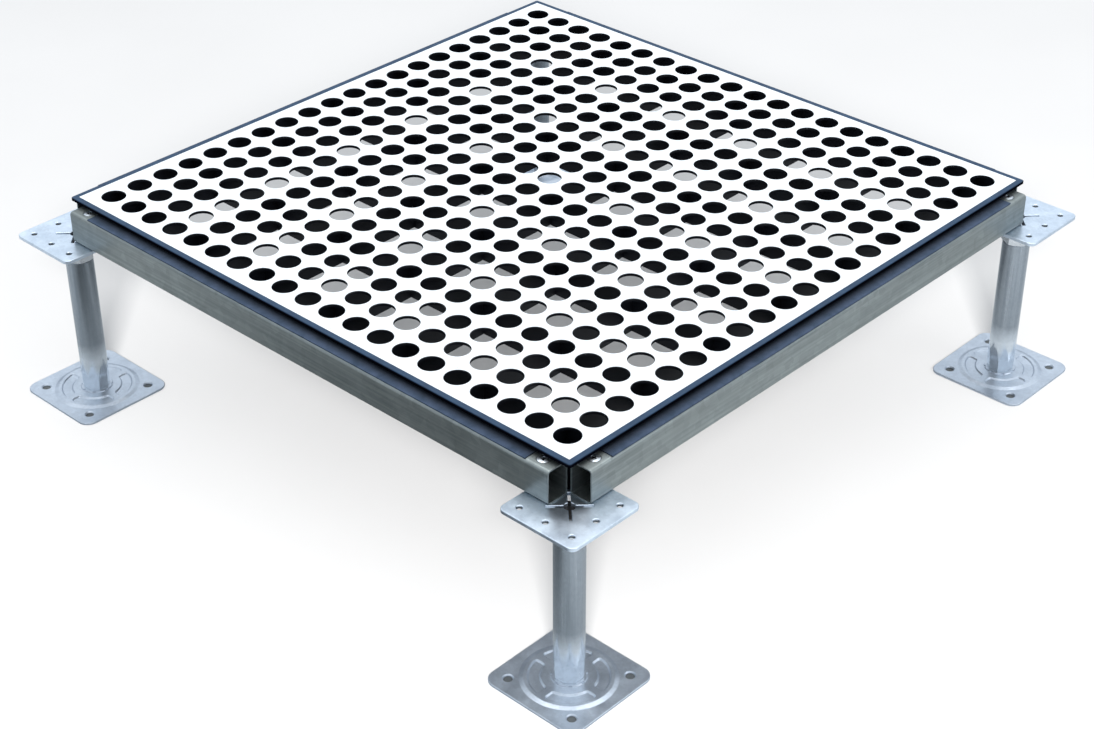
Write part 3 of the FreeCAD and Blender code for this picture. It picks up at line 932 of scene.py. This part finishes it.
# Painted shade: the card's grey stands in for the shadow under the foot.
shader.inputs["Base Color"].default_value = (0.11, 0.12, 0.125, 1.0)
for corner, axis in pedestal_axis.items():
    square = bmesh.new()
    bmesh.ops.create_grid(square, x_segments=1, y_segments=1, size=half_card)
    bmesh.ops.translate(square, verts=square.verts, vec=(*axis, card_height))
    card = set_up("card_" + corner, square, painted_shade_card)
    card.parent = bpy.data.objects["base_plate_" + corner].parent

# %% [markdown]
# ## Light
#
# The light is an overcast sky. It comes from everywhere above and fades towards the horizon. A
# softbox overhead lifts the tile. A low one in the south makes the faces of the south stringer
# lighter than those of the west one. A third, in the south-west, lights only the floor, which
# the overhead one leaves alone: so the floor is bright in front and under the tile's near edges,
# and in the tile's own soft shadow behind, where the 400 holes show it. With more light there
# the holes would be as white as the laminate. Light linking does it, with a collection for each
# of the two lamps. Without it they would need screens.


# %% Sky
def make_sky(strength):
    """A sky that is brightest overhead and dim at the horizon."""
    world = bpy.data.worlds.new("sky")
    world.use_nodes = True
    tree = world.node_tree
    upward = height_of(tree, tree.nodes.new("ShaderNodeTexCoord").outputs["Generated"])
    colours = [(0.0, (0.14, 0.16, 0.19)), (0.14, (0.34, 0.39, 0.46)),
               (0.42, (0.84, 0.92, 1.0)), (1.0, (0.94, 0.97, 1.0))]
    background = tree.nodes["Background"]
    tree.links.new(ramp(tree, upward, colours), background.inputs["Color"])
    background.inputs["Strength"].default_value = strength
    bpy.context.scene.world = world
    print("sky at strength", strength)


make_sky(1.12)


# %% Softboxes
def softbox(name, place, aim, width, depth, power):
    """A rectangular lamp that points at a place and isn't itself in the picture."""
    lamp = bpy.data.lights.new(name, "AREA")
    lamp.shape = "RECTANGLE"
    lamp.size = width
    lamp.size_y = depth
    lamp.energy = power
    box = bpy.data.objects.new(name, lamp)
    box.location = place
    box.rotation_mode = "QUATERNION"
    box.rotation_quaternion = (Vector(aim) - Vector(place)).to_track_quat("-Z", "Y")
    box.visible_camera = False
    bpy.context.scene.collection.objects.link(box)
    print(name, power, "W")
    return box


def light_group(box, obj, state):
    """The lamp lights this object alone (INCLUDE), or everything but it (EXCLUDE)."""
    group = bpy.data.collections.new(box.name)
    group.objects.link(obj)
    group.collection_objects[0].light_linking.link_state = state
    box.light_linking.receiver_collection = group


under_tile = (0.0, 0.0, 0.0)
overhead = softbox("overhead", (0.2, 0.1, 3.0), under_tile, width=2.5, depth=2.5, power=62)
softbox("south", (0.5, -2.8, 1.0), (0.0, 0.0, 0.1), width=1.6, depth=1.0, power=16)
southwest = softbox("southwest", (-2.62, -2.46, 2.16), under_tile, width=0.9, depth=0.9, power=270)
light_group(overhead, floor, "EXCLUDE")
light_group(southwest, floor, "INCLUDE")
bpy.context.scene.view_settings.view_transform = "Standard"

# %% [markdown]
# ## The end

# The added pieces must not make the part grow.

# %% The end
print("the end")
